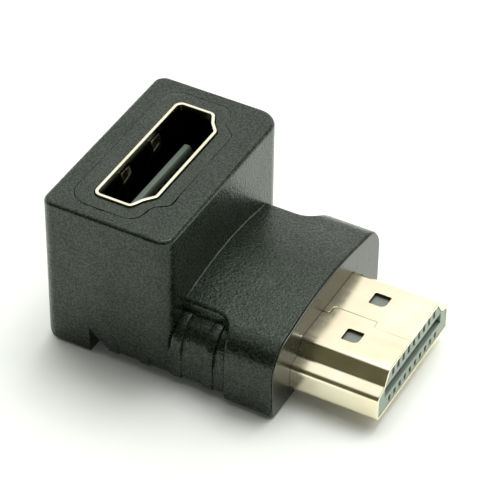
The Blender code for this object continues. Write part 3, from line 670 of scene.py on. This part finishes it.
# Neck: half width constant, then flaring on an arc, under the arm's top with its edge rounded.
def neckForm():
    turn = np.linspace(0, np.pi, 65)
    floor = body["ledge"] / 2

    def section(x, width, drop=body["neckDrop"]):
        y = width * np.cos(turn)
        past = np.maximum(np.abs(y) - (width - body["neckEdge"]), 0.0)
        fall = body["neckEdge"] - np.sqrt(np.maximum(body["neckEdge"] ** 2 - past ** 2, 0.0))
        top = np.stack([np.full_like(y, x), y, armTop(y) - drop - fall], 1)
        return np.vstack([[x, width, floor], top, [x, -width, floor]])

    start, flare, half = body["block"] - body["flare"], body["flare"], body["neckHalf"]
    rings = [section(body["depth"] * body["neckFrom"], half), section(start, half)]
    for a in np.radians(np.linspace(0, body["flareAngle"], 15))[1:]:
        rings.append(section(start + flare * np.sin(a), half + flare * (1 - np.cos(a))))
    width = half + flare * (1 - np.cos(np.radians(body["flareAngle"])))
    rings.append(section(body["block"] + body["blockChamfer"], width, body["neckEndDrop"]))
    return stackSurface("neckForm", rings)


# End block: the arm's section carried along X, chamfered at the neck and rounded at the end.
def blockForm():
    chamfer = body["blockChamfer"]
    narrow = armCorners(body["width"] / 2 - chamfer, chamfer)
    wide = armCorners(body["width"] / 2, 0.0)
    rings = [ring(roundOutline(narrow, 16), body["block"], 0),
             ring(roundOutline(wide, 16), body["block"] + chamfer, 0)]
    rings += edgeRings(wide, body["end"] - body["plateRim"] - body["fitGap"], 0, body["endEdge"], arc=16)
    return stackSurface("blockForm", rings)


# Rounded heel: what lies outside a quarter circle is cut off.
def heelTool():
    far, past, r = body["width"] / 2 + 2 * overrun, -2 * overrun, body["heelRound"]
    turn = np.linspace(0, np.pi / 2, 13)
    arc = np.stack([r - r * np.cos(turn), r - r * np.sin(turn)], 1)
    return prism("heelTool", np.vstack([arc, [[r, past], [past, past], [past, r]]]), -far, far, 1)


# Notch before the heel: its roof falls to the belly on a quadratic curve with one bend point.
def notchTool():
    far, (runShare, riseShare) = body["width"] / 2 + 2 * overrun, body["notchBend"]
    t = np.linspace(1, 0, 17)[:, None]
    start = np.array([body["heel"], body["notchTop"]])
    bend = np.array([body["heel"] + runShare * body["notchRun"], body["notchTop"] * riseShare])
    end = np.array([body["heel"] + body["notchRun"] + body["notchOver"], body["ribSole"]])
    arch = start * (1 - t) ** 2 + bend * 2 * t * (1 - t) + end * t ** 2
    notch = np.vstack([[[body["heel"], -overrun], [end[0], -overrun]], arch])
    return prism("notchTool", notch, -far, far, 1)


# Mouth of the inner moulding's pocket: its outline moved out by a seam that wanders. It is
# tight along the back, where the two mouldings almost touch, and widest on the near side.
def mouthOutline():
    outline = evenOutline(roundOutline(surroundCorners(), 8), surround["mouthPoints"])
    ahead = np.roll(outline, -1, axis=0) - np.roll(outline, 1, axis=0)
    normal = np.stack([ahead[:, 1], -ahead[:, 0]], 1) / np.linalg.norm(ahead, axis=1)[:, None]
    at = np.linspace(0, 2 * np.pi, len(outline), endpoint=False)
    back = np.clip((surround["backFrom"] - outline[:, 0]) / surround["backRun"], 0.0, 1.0)
    near = np.clip(-outline[:, 1] / surround["nearRun"], 0.0, 1.0)
    least, more = surround["nearWide"]
    width = surround["seam"] + surround["seamWander"] * wanderAlong(at, surround["waves"])
    width = width * (1 - surround["backTight"] * back) * (least + more * near)
    return outline + normal * np.clip(width, surround["leastSeam"], None)[:, None]


# Pockets for the surround, the socket, the board, the plug and the end plate's boss.
def pocketTools():
    gap, end = body["fitGap"], body["end"]
    shelf = surround["top"] - surround["depth"] - gap
    well = roundOutline(growCorners(socketCorners(), sheet + gap))
    bore = roundOutline(growCorners(plugCorners(), gap))
    boss = roundOutline(growCorners(plugCorners(), 2 * gap + body["bossWall"]))
    bossBack = end - body["plateRim"] - gap - body["bossLength"]
    side = boardHigh[1] + gap
    return [
        prism("mouthTool", mouthOutline(), shelf, surround["top"] + overrun, 2),
        prism("wellTool", well, socket["bottom"] - gap, shelf + body["wellOver"], 2),
        blockBetween("boardTool", (boardLow[0] - gap, -side, boardLow[2] - body["boardBelow"]),
                     (plug["rear"] - body["boardShort"], side, boardHigh[2] + body["boardAbove"])),
        prism("plugTool", bore, boardHigh[0] - body["boreOver"], end, 0),
        prism("bossTool", boss, bossBack - gap, end + overrun, 0),
    ]


def overmould():
    skin = uprightForm()
    carve(skin, bellyTool())
    for form in (ribForm(), neckForm(), blockForm()):
        carve(skin, form, "UNION")
    for tool in (heelTool(), notchTool(), *pocketTools()):
        carve(skin, tool)
    finishPiece(skin, overmouldBlack, "overmould_body")


overmould()

# Thin flash where the mould's halves met, along the foot of the upright's front face: a
# bead of wandering radius along the line where the arm's top reaches the upright. Its grey,
# far lighter than the overmould, is a painted highlight along the bead.
flash = {"radius": 0.06, "from": -7.3, "to": 7.3, "sink": 0.01, "drop": 0.01, "sway": 0.02,
         "swell": 0.35, "fadeRun": 1.2, "fadeLeast": 0.15,
         "waves": [(0.5, 3.1, 0.0), (0.3, 7.7, 1.0), (0.2, 17.0, 0.0)]}


def mouldFlash():
    y = np.linspace(flash["from"], flash["to"], 97)
    wander = wanderAlong(y, flash["waves"])
    fromEnd = np.minimum(y - flash["from"], flash["to"] - y)
    fade = np.clip(fromEnd / flash["fadeRun"], flash["fadeLeast"], 1.0)
    radius = flash["radius"] * fade * (1 + flash["swell"] * wander)
    turn = np.linspace(0, 2 * np.pi, 9)[:-1]
    x = np.full_like(y, body["depth"] + flash["sink"])
    centre = np.stack([x, y, armTop(y) - flash["drop"] + flash["sway"] * wander], 1)
    around = np.stack([np.cos(turn), np.zeros_like(turn), np.sin(turn)], 1)
    grid = centre[:, None, :] + radius[:, None, None] * around[None]
    finishPiece(stackSurface("mouldFlash", list(grid)), flashHighlightGrey)


mouldFlash()


# End plate: the arm's section as a thin disc with a rounded rim, on a boss round the plug.
def endPlate():
    rim = growCorners(armCorners(body["width"] / 2, 0.0), -body["endEdge"])
    back = body["end"] - body["plateRim"]
    rings = [ring(roundOutline(rim, 14), back, 0)]
    rings += edgeRings(rim, body["end"], 0, body["plateEdge"], 3, 14)
    plate = stackSurface("endPlateSkin", rings)
    bossBack = back - body["fitGap"] - body["bossLength"]
    boss = roundOutline(growCorners(plugCorners(), plug["gap"] + body["bossWall"]), 8)
    carve(plate, prism("plateBoss", boss, bossBack, back + body["plateRim"] / 2, 0), "UNION")
    hole = roundOutline(growCorners(plugCorners(), plug["gap"]), 10)
    carve(plate, prism("plugHole", hole, bossBack - overrun, body["end"] + overrun, 0))
    finishPiece(plate, endPlateGloss, "plug_end_plate")


endPlate()


# Surround: its outline and the socket's carried up Z as a closed wall, with both edges rounded.
def socketSurround():
    outer = surroundCorners()
    inner = growCorners(socketCorners(), sheet + socket["gap"])
    low, high, edge = surround["top"] - surround["depth"], surround["top"], surround["edge"]
    rings = [ring(roundOutline(outer), low, 2)] + edgeRings(outer, high, 2, edge, 3)
    rings += edgeRings(inner, high, 2, edge * surround["mouthEdgeShare"], 3, hole=True)
    rings.append(ring(roundOutline(inner), low, 2))
    skin = stackSurface("surroundSkin", rings, looped=True)
    finishPiece(skin, surroundBlack, "socket_surround")


socketSurround()

# The plug's folded shell: its profile carried along X, with both lips of the tip rounded.
seam = {"hookWidth": 0.1, "width": 0.05, "tabWidth": 0.025, "hookOffset": 1.0, "hookReach": 0.65,
        "hookRound": 0.28, "hookRun": 0.3, "tabOffset": 0.72, "tabFromTip": 3.55, "tabLength": 1.3,
        "tabRound": 0.07, "tabRun": 0.05}
latch = {"fromTip": 5.38, "length": 1.54, "width": 1.52, "spacing": 5.24, "round": 0.55,
         "corner": 0.12, "around": 0.05, "steep": 0.6}


def latchTools(near, far):
    tools = []
    for side in (-1, 1):
        low = side * latch["spacing"] / 2 - latch["width"] / 2
        high = low + latch["width"]
        outline = roundOutline([(near, low, latch["corner"]), (far, low, latch["round"]),
                                (far, high, latch["corner"]), (near, high, latch["corner"])])
        tools.append(prism("latchTool", outline, plug["base"] - overrun,
                           plug["base"] + plug["height"] + overrun, 2))
    return together("latchTools", tools)


# The seam as a band along its path: a hook by the end plate, a straight run, and a tab where it
# steps aside. It is tight beside the tab and opens again past it.
def seamTool():
    hook, tab = body["end"] + seam["hookReach"], plug["tip"] - seam["tabFromTip"]
    tabEnd = tab + seam["tabLength"]
    opens = tabEnd + seam["tabRun"]
    side, bend, step, turn = seam["hookOffset"], seam["hookRound"], seam["tabOffset"], seam["tabRound"]
    corners = [(plug["rear"] - overrun, -side, 0), (hook, -side, bend), (hook, 0.0, bend),
               (tab, 0.0, turn), (tab, -step, turn), (plug["tip"] + overrun, -step, 0)]
    steps = 6
    bends = roundOutline(corners, steps)[steps + 1:-steps - 1]
    path = np.vstack([corners[0][:2], bends, [[tabEnd, -step], [opens, -step]], corners[-1][:2]])
    stations = [hook, hook + seam["hookRun"], tab - seam["tabRun"], tab, tabEnd, opens]
    names = ("hookWidth", "width", "width", "tabWidth", "tabWidth", "width")
    width = np.interp(path[:, 0], stations, [seam[name] for name in names])
    top = plug["base"] + plug["height"]
    return prism("seamTool", bandOutline(path, width[:, None]), top - 2 * sheet, top + overrun, 2)


def plugShell():
    outer = plugCorners()
    inner = growCorners(outer, -sheet)
    tip, lip = plug["tip"], plug["lip"]
    rings = [ring(roundOutline(outer, 12), plug["rear"], 0)]
    rings += edgeRings(outer, tip, 0, lip, 4, 12)
    rings += edgeRings(inner, tip, 0, lip * plug["innerLipShare"], 3, 12, hole=True)
    rings.append(ring(roundOutline(inner, 12), plug["rear"], 0))
    shell = stackSurface("plugShellSkin", rings, looped=True)
    near = tip - latch["fromTip"]
    far = near + latch["length"]
    carve(shell, latchTools(near, far))
    carve(shell, seamTool())
    finishPiece(shell, shellGold, "plug_shell", bevel=plug["edge"])

    # The punched walls of the latch holes take a dark gold: painted shade on the sheet's cut edge.
    def punched(at, normal):
        margin = latch["around"]
        beside = np.abs(np.abs(at[:, 1]) - latch["spacing"] / 2) < latch["width"] / 2 + margin
        along = (at[:, 0] > near - margin) & (at[:, 0] < far + margin)
        return beside & along & (np.abs(normal[:, 2]) < latch["steep"])

    secondFinish(shell, latchWallShadeGold, punched)


plugShell()

# The socket's shell: profile carried up Z with a rounded rim, and four bowed springs. Levels on
# a spring are counted up from its root and down from its tip.
spring = {"spacing": 5.1, "width": 1.4, "slot": 0.25, "thickness": 0.2, "tip": 0.75, "root": 5.0,
          "foot": 0.6, "rise": 1.2, "riseShare": 0.5, "crown": (1.1, 0.7), "bow": 0.32, "lip": 0.12,
          "around": 0.05, "windowPast": 0.2}
springTip, springRoot = socket["rim"] - spring["tip"], socket["rim"] - spring["root"]


# Windows in both long walls, and a spring in each: a band along a smoothed middle line from the
# wall to the crown and back, carried along Y.
def springForms():
    half, past = spring["width"] / 2, spring["windowPast"]
    reach = half + spring["slot"]
    windows, springs = [], []
    for wall, inward in ((socket["start"], 1), (socket["start"] + socket["opening"], -1)):
        start = min(wall - inward * (sheet + past), wall + inward * past)
        rest, bow = wall - inward * sheet / 2, wall + inward * spring["bow"]
        knots = np.array([
            (rest, springRoot - spring["foot"]), (rest, springRoot),
            (rest + inward * spring["bow"] * spring["riseShare"], springRoot + spring["rise"]),
            (bow, springTip - spring["crown"][0]), (bow, springTip - spring["crown"][1]),
            (rest + inward * spring["lip"], springTip)])
        z = np.linspace(knots[0, 1], knots[-1, 1], 25)
        x = np.interp(z, knots[:, 1], knots[:, 0])
        x = np.convolve(np.pad(x, 2, mode="edge"), np.ones(5) / 5, "valid")
        outline = bandOutline(np.stack([x, z], 1), spring["thickness"])
        for side in (-1, 1):
            y = side * spring["spacing"] / 2
            windows.append(blockBetween(
                "windowTool", (start, y - reach, springRoot),
                (start + sheet + 2 * past, y + reach, springTip + spring["slot"])))
            springs.append(prism("springForm", outline, y - half, y + half, 1))
    return together("windowTools", windows), together("springForms", springs)


def socketShell():
    inner = socketCorners()
    outer = growCorners(inner, sheet)
    rim, lip = socket["rim"], socket["lip"]
    rings = [ring(roundOutline(outer), socket["bottom"], 2)] + edgeRings(outer, rim, 2, lip, 4)
    rings += edgeRings(inner, rim, 2, lip, 4, hole=True)
    rings.append(ring(roundOutline(inner), socket["bottom"], 2))
    shell = stackSurface("socketShellSkin", rings, looped=True)
    windows, springs = springForms()
    carve(shell, windows)
    carve(shell, springs, "UNION")
    finishPiece(shell, socketGold, "socket_shell", bevel=socket["edge"])

    # The springs are painted brighter than the wall round them: painted glints where the wall's painted
    # shade has already set in.
    def sprung(at, normal):
        margin = spring["around"]
        beside = np.abs(np.abs(at[:, 1]) - spring["spacing"] / 2) < spring["width"] / 2 + margin
        return beside & (at[:, 2] > springRoot) & (at[:, 2] < springTip + spring["slot"] / 2)

    secondFinish(shell, springGlintGold, sprung)


socketShell()

# The tongue with its base: a merged copy of the frame's own shape, whose tip slopes off towards
# +X. The cutter is a triangle on the slope's line, carried along Y past both ends.
tongue = {"cut": 0.38, "cutDepth": 0.5, "past": 0.3}


def socketTongue():
    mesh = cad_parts["socket_insulator"].data.copy()
    mergePoints(mesh, touching)
    piece = newObject("socketTongue", mesh)
    points = np.empty(3 * len(mesh.vertices))
    mesh.vertices.foreach_get("co", points)
    points = points.reshape(-1, 3) / mm + (middle, 0, 0)
    top, past = tongueHigh[2], tongue["past"]
    side = points[points[:, 2] > top - tongue["cutDepth"], 0].max()
    slope = np.array([tongue["cut"], -tongue["cutDepth"]])
    start = np.array([side - tongue["cut"], top])
    outline = [start - slope * past, start + slope * (1 + past), (side + overrun, top + overrun)]
    carve(piece, prism("tongueTool", outline, tongueLow[1] - overrun, tongueHigh[1] + overrun, 1))
    finishPiece(piece, tongueShadedGrey, "socket_insulator")


socketTongue()

# The frame's own pieces keep their shape and take their finish here.
finishes = {"plug_insulator": plugInsulatorGrey, "link_board": boardGreen}
for name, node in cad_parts.items():
    material = contactGold if "contact" in name else finishes.get(name)
    if material:
        node.data.materials.clear()
        node.data.materials.append(material)
print("frame pieces finished")


# Floor and backdrop: pale, white to the camera and in reflections, with the shadow kept near
# the object. The studio is open towards -Y, so metal and gloss mirror a dark room there, and a
# grey wall towards +X. Pairs of numbers are levels of the direction, where a light or a wall
# starts and where it is full. Sizes here are in metres.
stage = {"size": 1.2, "color": 0.95, "lift": 0.02, "shadowTo": 0.05, "whiteFrom": 0.13,
         "sky": (0.09, 0.095, 0.085), "keyLight": (2.2, 2.3, 2.1),
         "keyWay": (-0.08, 0.77, 0.63), "keySpread": (0.35, 0.75),
         "room": (0.085, 0.08, 0.045), "roomFront": (-0.15, -0.5), "roomTop": (0.95, 0.72),
         "wall": (0.5, 0.5, 0.46), "wallFrom": (0.0, 0.4)}


def makeFloor():
    half = stage["size"] / 2
    mesh = bpy.data.meshes.new("studioFloor")
    corners = [(-half, -half, 0), (half, -half, 0), (half, half, 0), (-half, half, 0)]
    mesh.from_pydata(corners, [], [(0, 1, 2, 3)])
    material, tree, shader = newMaterial("studioFloorWhite", {
        "Base Color": (*[stage["color"]] * 3, 1), "Roughness": 0.9, "Specular IOR Level": 0.0,
        "Emission Color": (1, 1, 1, 1)})
    rays = addNode(tree, "ShaderNodeLightPath").outputs
    seen = calculate(tree, "MAXIMUM", rays["Is Camera Ray"], rays["Is Glossy Ray"])
    away = addNode(tree, "ShaderNodeVectorMath", operation="LENGTH", in0=objectPlace(tree))
    lift = spread(tree, away.outputs["Value"], stage["shadowTo"], stage["whiteFrom"], stage["lift"],
                  curve="SMOOTHSTEP")
    tree.links.new(calculate(tree, "MULTIPLY", seen, lift), shader.inputs["Emission Strength"])
    mesh.materials.append(material)
    newObject("studioFloor", mesh)


# Mask that goes from 0 to 1 as a value goes from one level to another.
def rampMask(tree, value, levels):
    return spread(tree, value, *levels, curve="SMOOTHSTEP")


def makeWorld():
    world = bpy.data.worlds.new("studioWorld")
    bpy.context.scene.world = world
    world.use_nodes = True
    tree = world.node_tree
    place = addNode(tree, "ShaderNodeTexCoord").outputs["Generated"]
    way = addNode(tree, "ShaderNodeSeparateXYZ", in0=place).outputs
    rays = addNode(tree, "ShaderNodeLightPath").outputs
    white = (1.0, 1.0, 1.0)
    front = calculate(tree, "MULTIPLY", rampMask(tree, way["Y"], stage["roomFront"]),
                      rampMask(tree, way["Z"], stage["roomTop"]))
    mirrored = mixColor(tree, rampMask(tree, way["X"], stage["wallFrom"]), white, stage["wall"])
    mirrored = mixColor(tree, front, mirrored, stage["room"])
    toKey = addNode(tree, "ShaderNodeVectorMath", operation="DOT_PRODUCT", in0=place, in1=stage["keyWay"])
    key = rampMask(tree, toKey.outputs["Value"], stage["keySpread"])
    lit = mixColor(tree, key, stage["sky"], stage["keyLight"])
    lit = mixColor(tree, rays["Is Glossy Ray"], lit, mirrored)
    seen = calculate(tree, "MAXIMUM", rays["Is Camera Ray"], rays["Is Transmission Ray"])
    tree.links.new(mixColor(tree, seen, lit, white), tree.nodes["Background"].inputs["Color"])


def addLamp(name, place, aim, size, power):
    data = bpy.data.lights.new(name, "AREA")
    data.shape = "RECTANGLE"
    data.size, data.size_y = size
    data.energy = power
    lamp = newObject(name, data)
    lamp.location = place
    lamp.rotation_euler = (Vector(aim) - Vector(place)).to_track_quat("-Z", "Y").to_euler()


# Each lamp's place, aim, size and power.
lamps = {"softboxOverhead": ((0.0, 0.20, 0.50), (0, 0, 0), (0.25, 0.25), 0.9)}
makeFloor()
makeWorld()
for name, values in lamps.items():
    addLamp(name, *values)
print("stage made")

# Camera as the photograph was taken: turned about Z from the front, raised, and rolled a little.
view = {"azimuth": 27.924, "elevation": 40.504, "roll": 0.813, "distance": 228.975,
        "target": (15.0 - middle, 0.0, 6.23), "offset": (0.185, -1.689),
        "focalPixels": 2636.9, "pictureWidth": 500, "sensorWidth": 36}


def makeCamera():
    a, e, r = np.radians([view["azimuth"], view["elevation"], view["roll"]])
    back = np.array([np.sin(a) * np.cos(e), -np.cos(a) * np.cos(e), np.sin(e)])
    level = np.array([np.cos(a), np.sin(a), 0.0])
    over = np.cross(back, level)
    right = np.cos(r) * level + np.sin(r) * over
    up = -np.sin(r) * level + np.cos(r) * over
    place = np.array(view["target"]) - view["offset"][0] * right - view["offset"][1] * up
    place = place + view["distance"] * back
    data = bpy.data.cameras.new("photoCamera")
    data.sensor_width = view["sensorWidth"]
    data.lens = view["focalPixels"] * view["sensorWidth"] / view["pictureWidth"]
    data.clip_start = 0.01
    camera = newObject("photoCamera", data)
    turned = np.column_stack([right, up, back, place * mm])
    camera.matrix_world = Matrix(turned.tolist() + [[0, 0, 0, 1]])
    bpy.context.scene.camera = camera


makeCamera()
bpy.context.scene.view_settings.view_transform = "Standard"
print("camera set")
